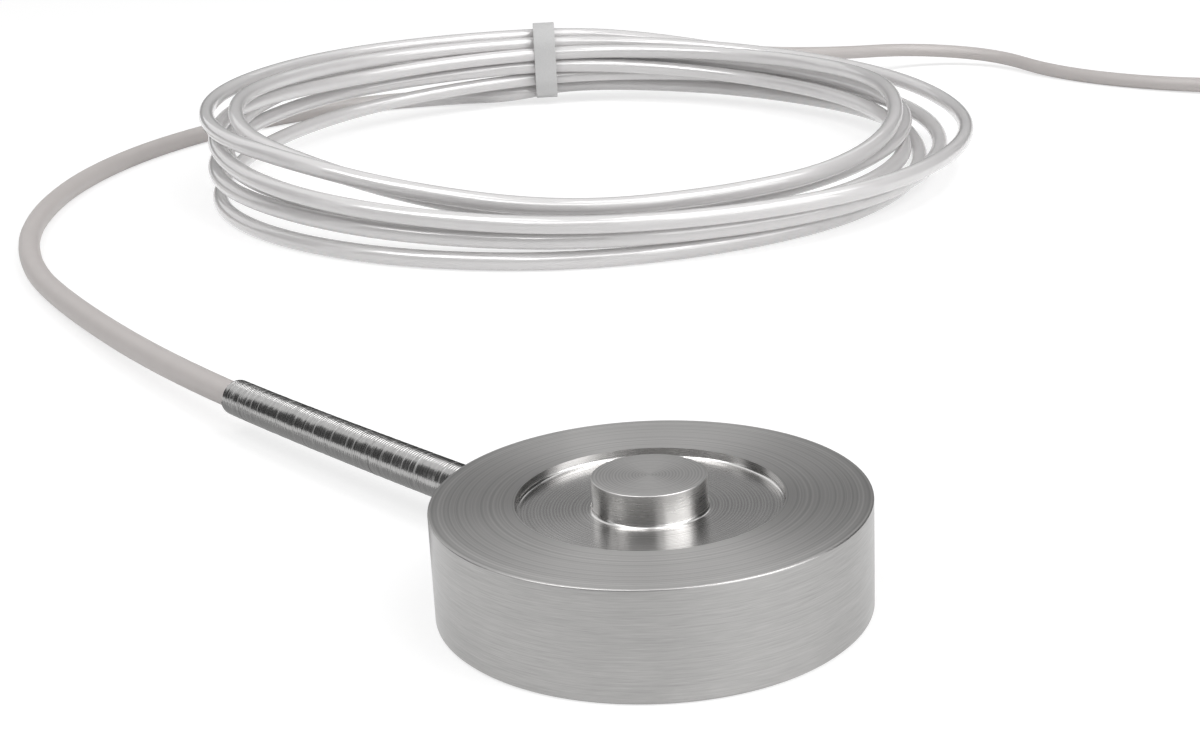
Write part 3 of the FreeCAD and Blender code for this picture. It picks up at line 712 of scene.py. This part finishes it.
def zone_of(face):
    """Number of the finish for one face, from where it is and which way it faces."""
    height = face.center.z / MM
    radius = math.hypot(face.center.x, face.center.y) / MM
    if radius > FOOT_RADIUS - FOOT_CHAMFER and height < RING_TOP - EDGE:
        return SIDE
    if height > BUTTON_TOP - EDGE:
        return BUTTON
    if height > RECESS_FLOOR - EDGE and radius > RECESS_RADIUS + EDGE:
        return FACED
    if height > RECESS_FLOOR + RECESS_FILLET and abs(face.normal.z) < UPRIGHT:
        return WALL
    return RECESS if height > RECESS_FLOOR - EDGE else INNER


for face in body_mesh.polygons:
    face.material_index = zone_of(face)
print("zones:", [sum(f.material_index == z for f in body_mesh.polygons) for z in range(len(ZONES))])

# %% [markdown]
# The cable's hole is drilled through the wall and widened from outside as a seat for the spring. A
# spun drill of the same steps, laid on its side, is cut away from the body with a boolean, which
# keeps the drill's own finish on the faces that it leaves.

# %% Cut the stepped cable hole
# Radii and lengths in millimetres
HOLE_RADIUS, SEAT_RADIUS, SEAT_DEPTH = 1.25, 1.75, 3.2
HOLE_END = 9.0
OVERRUN = 1.0
HOLE_TURNS = 48
BODY_SHARP = math.radians(28)

seat_start, drill_end = FOOT_RADIUS - SEAT_DEPTH, FOOT_RADIUS + OVERRUN
steps = [(0, HOLE_END), (HOLE_RADIUS, HOLE_END), (HOLE_RADIUS, seat_start), (SEAT_RADIUS, seat_start),
         (SEAT_RADIUS, drill_end), (0, drill_end)]
drill_mesh = spun("drill", steps, HOLE_TURNS)
for face in drill_mesh.polygons:
    face.material_index = INNER
drill_mesh.transform(Matrix.Translation((0, 0, CABLE_EXIT[2])) @ Matrix.Rotation(-math.pi / 2, 4, "Y"))
drill = new_object("drill", drill_mesh)
cut = body.modifiers.new("cable hole", "BOOLEAN")
cut.operation = "DIFFERENCE"
cut.solver = "EXACT"
cut.object = drill
bpy.context.view_layer.update()
finished = bpy.data.meshes.new_from_object(body.evaluated_get(bpy.context.evaluated_depsgraph_get()))
body.modifiers.clear()
body.data = finished
bpy.data.objects.remove(drill)
finished.shade_smooth()
finished.set_sharp_from_angle(angle=BODY_SHARP)
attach(body, "root")
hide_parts("sensor_body")
print("body with its hole:", len(finished.polygons), "faces")

# %% [markdown]
# ## Skins between rings
# The spring, the strap and the sleeve are all one section carried along a line. A curve with a
# bevel could do that, but here the sections change on the way, so each piece is a row of rings of
# points with faces between them.

# %% Mesh from rings of points
PIECE_SHARP = math.radians(40)


def skin_mesh(name, rings, closed=False, capped=False):
    """Faces between each ring of points and the next, and over the first and last if asked."""
    size = len(rings[0])
    count = len(rings)
    faces = []
    for row in range(count if closed else count - 1):
        here, there = row * size, (row + 1) % count * size
        for step in range(size):
            after = (step + 1) % size
            faces.append((here + step, here + after, there + after, there + step))
    if capped:
        faces.append(tuple(reversed(range(size))))
        faces.append(tuple(range((count - 1) * size, count * size)))
    mesh = bpy.data.meshes.new(name)
    mesh.from_pydata([point for ring in rings for point in ring], [], faces)
    shape = bmesh.new()
    shape.from_mesh(mesh)
    bmesh.ops.recalc_face_normals(shape, faces=shape.faces)
    shape.to_mesh(mesh)
    shape.free()
    mesh.shade_smooth()
    mesh.set_sharp_from_angle(angle=PIECE_SHARP)
    return mesh


def place_piece(name, mesh, finish, slot, *nodes):
    """Object of a mesh with its finish, on the part's only body and in place of its CAD nodes."""
    piece = new_object(name, mesh)
    mesh.materials.append(finish)
    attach(piece, "root")
    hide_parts(*nodes)
    print(name, "of", len(mesh.polygons), "faces")
    return piece


print("skin helpers ready")

# %% [markdown]
# A spring and a sleeve both sit round the cable, so they need its line near one end: the place and
# the direction at any distance along it. Only a few control points shape the line there, so a
# short spline with fine steps is enough.

# %% Places along the cable
NEAR_POINTS = 8
FINE_STEPS = 60


def along_line(line):
    """Function from a distance on a line of points to the place and direction there, and its length."""
    marks = [0.0]
    for a, b in zip(line, line[1:]):
        marks.append(marks[-1] + (b - a).length)

    def find(distance):
        low = 0
        high = len(marks) - 2
        while low < high:
            middle = (low + high + 1) // 2
            if marks[middle] <= distance:
                low = middle
            else:
                high = middle - 1
        a, b = line[low], line[low + 1]
        share = (distance - marks[low]) / (marks[low + 1] - marks[low])
        before = (b - line[max(low - 1, 0)]).normalized()
        after = (line[min(low + 2, len(line) - 1)] - a).normalized()
        return a.lerp(b, share), before.lerp(after, share).normalized()

    return find, marks[-1]


def beside_line(ahead):
    """Directions to the side and upwards, square to a line that runs ahead."""
    aside = UP.cross(ahead).normalized()
    return aside, ahead.cross(aside)


find_lead, lead_length = along_line(spline_points(route[:NEAR_POINTS], FINE_STEPS))
find_tail, tail_length = along_line(spline_points(route[-NEAR_POINTS:], FINE_STEPS))
print("lead followed for", round(lead_length, 3), "m, tail for", round(tail_length, 3), "m")

# %% [markdown]
# ## Bend spring
# A close-wound spring keeps the cable from kinking where it leaves the disc. Its wire is nearly
# square with cut corners, so the outside looks like a tube with fine cuts. Painted lines would
# look flat from the side, so the wire is wound for real: one long helix round the cable's line.
# Each turn gets a tiny error of its own, which makes the reflections ragged.

# %% Wind the spring
SPRING_START_X = -13.5 * MM
SPRING_LENGTH = 42.4 * MM
SPRING_MEAN_RADIUS = 1.55 * MM
WIRE_HALF = 0.15 * MM
WIRE_GAP = 0.006 * MM
WIRE_CORNER = 0.028 * MM
STEPS_A_TURN = 36
TURN_SWELL = 0.006 * MM
TURN_TILT = 0.035
random.seed(7)


def wire_section():
    """Square with cut corners: radial and lengthwise offsets from the wire's middle."""
    thick, wide = WIRE_HALF, WIRE_HALF - WIRE_GAP / 2
    near, far = thick - WIRE_CORNER, wide - WIRE_CORNER
    return [(thick, -far), (thick, far), (near, wide), (-near, wide),
            (-thick, far), (-thick, -far), (-near, -wide), (near, -wide)]


def turn_errors(count):
    """Swell and tilt of each turn. A third draw is passed over, so that the turns stay as chosen."""
    errors = []
    for turn in range(count):
        errors.append((random.gauss(0, 1), random.gauss(0, 1)))
        random.uniform(0, 1)
    return errors


spring_from = route[0].x - SPRING_START_X
turns = round(SPRING_LENGTH / (2 * WIRE_HALF))
pitch = (SPRING_LENGTH - 2 * WIRE_HALF) / turns
errors = turn_errors(turns + 2)
section = wire_section()
rings = []
for step in range(turns * STEPS_A_TURN + 1):
    winding = step / STEPS_A_TURN
    centre, ahead = find_lead(spring_from + WIRE_HALF + winding * pitch)
    aside, above = beside_line(ahead)
    angle = 2 * math.pi * winding
    out = aside * math.cos(angle) + above * math.sin(angle)
    share = winding % 1
    first, second = errors[int(winding)], errors[int(winding) + 1]
    swell = (first[0] * (1 - share) + second[0] * share) * TURN_SWELL
    tilt = (first[1] * (1 - share) + second[1] * share) * TURN_TILT
    ring = []
    for radial, lengthwise in section:
        reach = SPRING_MEAN_RADIUS + swell + radial + tilt * lengthwise
        ring.append(centre + out * reach + ahead * lengthwise)
    rings.append(ring)
print("spring of", turns, "turns, pitch", round(pitch / MM, 3), "mm")

# %% [markdown]
# Spring wire is drawn through a die, so it is bright along its length, and handling scuffs some of
# the turns. One noise along the spring gives groups of turns their own tone and dulls the palest.

# %% Spring steel
spring_steel, tree, shader = new_finish("spring steel")
place = position(tree)
lengthwise = tree.add("ShaderNodeSeparateXYZ", None, {0: place}, "X")
turn_tone = line_noise(lengthwise, scale=2.2, detail=3.0)
scuffed = soft_step(turn_tone, low=0.56, high=0.7)
drawn = noise(stretched(place, 5, 1, 1), detail=2)
connect(shader, {
    "Base Color": blend(turn_tone * 0.7 + drawn * 0.3, grey(0.28, 0.008), grey(0.56, 0.01)),
    "Metallic": 1.0,
    "Roughness": 0.2 + 0.2 * scuffed,
    "Normal": relief(drawn, 0.0004 * MM, 0.5),
})
spring_mesh = skin_mesh("bend_spring_wire", rings, capped=True)
spring = place_piece("bend_spring_wire", spring_mesh, spring_steel, "spring_steel", "bend_spring")

# %% [markdown]
# ## Strap
# A pale strap holds the turns together at the back of the coil. It is a flat band bent into a tall
# loop. Its section is a thin strip with rounded edges, carried round a loop of two straight sides
# and two half circles.

# %% Band of the strap
STRAP_ACROSS, STRAP_AWAY = -3.65 * MM, 52.70 * MM
STRAP_TURN = math.radians(1.3)
STRAP_WIDTH, STRAP_THICKNESS = 3.5 * MM, 0.4 * MM
STRAP_INNER = 3.35 * MM
STRAP_STRAIGHT = 4.9 * MM
STRAP_LIFT = 0.9 * MM
STRAP_EDGE = 0.12 * MM
STRAP_ARC_STEPS = 24
STRAP_SIDE_STEPS = 10
EDGE_STEPS = 4


def strip_section():
    """Rounded strip: outward and lengthwise offsets."""
    section = []
    for corner in range(4):
        side_out = 1 if corner in (0, 3) else -1
        side_along = 1 if corner in (0, 1) else -1
        for step in range(EDGE_STEPS + 1):
            angle = math.pi / 2 * (corner + step / EDGE_STEPS)
            section.append((side_out * (STRAP_THICKNESS / 2 - STRAP_EDGE) + STRAP_EDGE * math.cos(angle),
                            side_along * (STRAP_WIDTH / 2 - STRAP_EDGE) + STRAP_EDGE * math.sin(angle)))
    return section


def loop_stations():
    """Places and outward directions round the tall loop, as pairs of sideways and upward lengths."""
    radius = STRAP_INNER + STRAP_THICKNESS / 2
    low = STRAP_LIFT + STRAP_THICKNESS + STRAP_INNER
    high = low + STRAP_STRAIGHT
    stations = []
    for side, height_from, height_to, start in ((1, low, high, 0), (-1, high, low, math.pi)):
        for step in range(STRAP_SIDE_STEPS):
            height = height_from + (height_to - height_from) * step / STRAP_SIDE_STEPS
            stations.append(((side * radius, height), (side, 0)))
        for step in range(STRAP_ARC_STEPS):
            angle = start + math.pi * step / STRAP_ARC_STEPS
            out = (math.cos(angle), math.sin(angle))
            stations.append(((radius * out[0], height_to + radius * out[1]), out))
    return stations


strap_out = AWAY * math.cos(STRAP_TURN) - ACROSS * math.sin(STRAP_TURN)
strap_along = UP.cross(strap_out)
strap_foot = COIL_CENTRE + ACROSS * STRAP_ACROSS + AWAY * STRAP_AWAY
section = strip_section()
rings = []
for (sideways, height), (out, rise) in loop_stations():
    middle = strap_foot + strap_out * sideways + UP * height
    facing = strap_out * out + UP * rise
    rings.append([middle + facing * outward + strap_along * lengthwise for outward, lengthwise in section])
print("strap of", len(rings), "stations")

# %% [markdown]
# The strap is a dull, slightly speckled felt. Real fibres would be far too many for a mesh, so two
# noises stand for them: a plain one for specks and a stretched one for the lie of the fibres.

# %% Felt of the strap
felt, tree, shader = new_finish("pale felt")
place = position(tree)
speckle = noise(place, scale=4.5, detail=4, roughness=0.7)
fibres = noise(stretched(place, 3, 3, 9))
connect(shader, {
    "Base Color": blend(speckle, grey(0.52, 0.004), grey(0.66)),
    "Roughness": 0.78 + 0.15 * fibres,
    "Normal": relief(speckle + fibres, 0.03 * MM, 0.5),
})
strap_mesh = skin_mesh("coil_strap", rings, closed=True)
strap = place_piece("coil_strap", strap_mesh, felt, "tie_strap", "coil_tie")

# %% [markdown]
# ## Shrunk sleeve
# At its free end the cable is stripped, and a short black sleeve is shrunk over the cut. Real
# sleeve is a thin tube that pulls in where nothing fills it, with soft lips and faint waves, so
# its rings follow the cable's line and their radius changes on the way.

# %% Sleeve over the cable's end
SLEEVE_COVERED, SLEEVE_OVERHANG = 7.0 * MM, 4.0 * MM
SLEEVE_OUTSIDE, SLEEVE_INSIDE = 1.55 * MM, 1.25 * MM
SLEEVE_LIP = 0.12 * MM
SLEEVE_PINCH = 0.13 * MM
PINCHED_AT = 0.6 * SLEEVE_OVERHANG
INNER_PINCH = 0.3 * SLEEVE_PINCH
SLEEVE_WAVE = 0.012 * MM
WAVES = 4.1 / MM
SLEEVE_SIDES = 40
SLEEVE_STEPS = 44

cable_end, end_ahead = find_tail(tail_length)


def sleeve_ring(distance, radius):
    """Ring of points round the cable's line, or round its straight continuation past the end."""
    if distance <= 0:
        middle, ahead = find_tail(tail_length + distance)
    else:
        middle, ahead = cable_end + end_ahead * distance, end_ahead
    aside, above = beside_line(ahead)
    angles = [2 * math.pi * side / SLEEVE_SIDES for side in range(SLEEVE_SIDES)]
    return [middle + (aside * math.cos(angle) + above * math.sin(angle)) * radius for angle in angles]


def outer_radius(distance):
    """Full on the cable, pinched past its end, with faint waves and rounded lips."""
    pinch = SLEEVE_PINCH * min(1, max(0, distance / PINCHED_AT))
    wave = SLEEVE_WAVE * math.sin(distance * WAVES)
    to_lip = min(distance + SLEEVE_COVERED, SLEEVE_OVERHANG - distance)
    lip = SLEEVE_LIP * (1 - min(1, to_lip / SLEEVE_LIP)) ** 2
    return SLEEVE_OUTSIDE - SLEEVE_WAVE - pinch + wave - lip


def inner_radius(distance):
    """Round the cable, and a little less past its end."""
    return SLEEVE_INSIDE - INNER_PINCH if distance > 0 else SLEEVE_INSIDE


span = SLEEVE_COVERED + SLEEVE_OVERHANG
stations = [-SLEEVE_COVERED + span * step / SLEEVE_STEPS for step in range(SLEEVE_STEPS + 1)]
rings = [sleeve_ring(distance, outer_radius(distance)) for distance in stations]
rings += [sleeve_ring(distance, inner_radius(distance)) for distance in reversed(stations)]
print("sleeve of", len(rings), "rings")

# %% Black of the sleeve
black_sleeve, tree, shader = new_finish("black shrunk sleeve")
grain = noise(position(tree), scale=6)
connect(shader, {
    "Base Color": blend(grain, grey(0.018), grey(0.04)),
    "Roughness": 0.38 + 0.2 * grain,
    "Normal": relief(grain, 0.01 * MM, 0.5),
})
sleeve_mesh = skin_mesh("shrunk_sleeve", rings, closed=True)
sleeve = place_piece("shrunk_sleeve", sleeve_mesh, black_sleeve, "end_sleeve", "end_sleeve")

# %% [markdown]
# ## Pieces that stay as they are
# Cores, gauges, board and cover are already the right shape, so the CAD objects stay and only get
# finishes. Insulation is smooth coloured plastic, tinned copper and solder are bright soft metals,
# and the board is green lacquer over glass cloth.

# %% Plastics and soft metals
PLASTIC_SHADE = 0.82
METAL_SHADE = 0.7
CLOTH_WAVES = 9
FOIL_WAVES = 22


def two_tones(mask, colour, shade):
    """Colour that is darkened to a share of itself where the mask is 0."""
    return blend(mask, (*(channel * shade for channel in colour), 1), (*colour, 1))


def plastic(name, colour, rough):
    """Smooth plastic with a faint mottle and a fine skin."""
    material, tree, shader = new_finish(name)
    place = position(tree)
    mottle = noise(place, scale=1.6)
    skin = noise(place, scale=9, detail=2)
    connect(shader, {
        "Base Color": two_tones(mottle, colour, PLASTIC_SHADE),
        "Roughness": rough + 0.1 * skin,
        "Normal": relief(skin, 0.004 * MM, 0.5),
    })
    return material


def soft_metal(name, colour, rough, grain):
    """Cast or drawn metal with a cloudy tone and fine grain."""
    material, tree, shader = new_finish(name)
    cloud = noise(position(tree), scale=grain, detail=4)
    connect(shader, {
        "Base Color": two_tones(cloud, colour, METAL_SHADE),
        "Metallic": 1.0,
        "Roughness": rough + 0.18 * cloud,
        "Normal": relief(cloud, 0.006 * MM, 0.5),
    })
    return material


def board_finish():
    """Green lacquer over woven glass cloth."""
    material, tree, shader = new_finish("green board")
    x = tree.add("ShaderNodeSeparateXYZ", None, {0: position(tree)}, "X")
    y = x.beside("Y")
    weave = (x * CLOTH_WAVES).sine() * (y * CLOTH_WAVES).sine() * 0.5 + 0.5
    connect(shader, {
        "Base Color": blend(weave, (0.01, 0.12, 0.05, 1), (0.02, 0.19, 0.08, 1)),
        "Roughness": 0.3 + 0.15 * weave,
        "Normal": relief(weave, 0.004 * MM, 0.5),
    })
    return material


def gauge_finish():
    """Amber film with a fine meander of foil across it."""
    material, tree, shader = new_finish("gauge film")
    stripes = soft_step((radius_of(position(tree)) * FOIL_WAVES).sine(), low=-0.1, high=0.1)
    connect(shader, {
        "Base Color": blend(stripes, (0.55, 0.25, 0.05, 1), (0.62, 0.6, 0.56, 1)),
        "Metallic": stripes,
        "Roughness": 0.42 - 0.12 * stripes,
    })
    return material


print("finishes for CAD pieces ready")

# %% Finishes on the CAD pieces
CORE_COLOURS = {"red": (0.55, 0.02, 0.02), "black": (0.02, 0.02, 0.022), "green": (0.02, 0.28, 0.07),
                "white": (0.78, 0.77, 0.74)}
GAUGES = 4
TRIM_RESISTORS = 3

tinned = soft_metal("tinned wire", (0.72, 0.72, 0.7), rough=0.22, grain=3)
finishes = {
    "base_cover": turned_steel("faced cover steel", fine_rings, level=0.54, rough=0.36, spread=0.75,
                               contrast=0.5, depth=0.0012 * MM),
    "bridge_board": board_finish(),
    "gauge_leads": tinned,
    "span_resistor": plastic("resistor body", (0.04, 0.04, 0.045), rough=0.4),
    "solder_joints": soft_metal("solder", (0.66, 0.66, 0.66), rough=0.26, grain=2),
    "inner_drain_wire": tinned,
    "free_drain_wire": tinned,
    "free_core_tips": tinned,
    "crimp_ring": soft_metal("crimped brass", (0.72, 0.5, 0.22), rough=0.28, grain=2),
    "entry_potting": plastic("potting resin", (0.03, 0.028, 0.025), rough=0.5),
}
film = gauge_finish()
for number in range(GAUGES):
    finishes[f"strain_gauge_{number + 1}"] = film
for number in range(TRIM_RESISTORS):
    finishes[f"trim_resistor_{number + 1}"] = finishes["span_resistor"]
for colour, value in CORE_COLOURS.items():
    insulation = plastic(f"{colour} insulation", value, rough=0.32)
    finishes[f"inner_core_{colour}"] = insulation
    finishes[f"free_core_{colour}"] = insulation
for name, finish in finishes.items():
    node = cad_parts[name]
    node.data.materials.clear()
    node.data.materials.append(finish)
    node.data.shade_smooth()
print("finishes on", len(finishes), "CAD pieces")

# %% [markdown]
# The cable is a free cord: it starts in the disc and ends in stripped cores. Last, the picture
# shows colours plainly, with the Standard view transform.

# %% Plain colours
bpy.context.scene.view_settings.view_transform = "Standard"
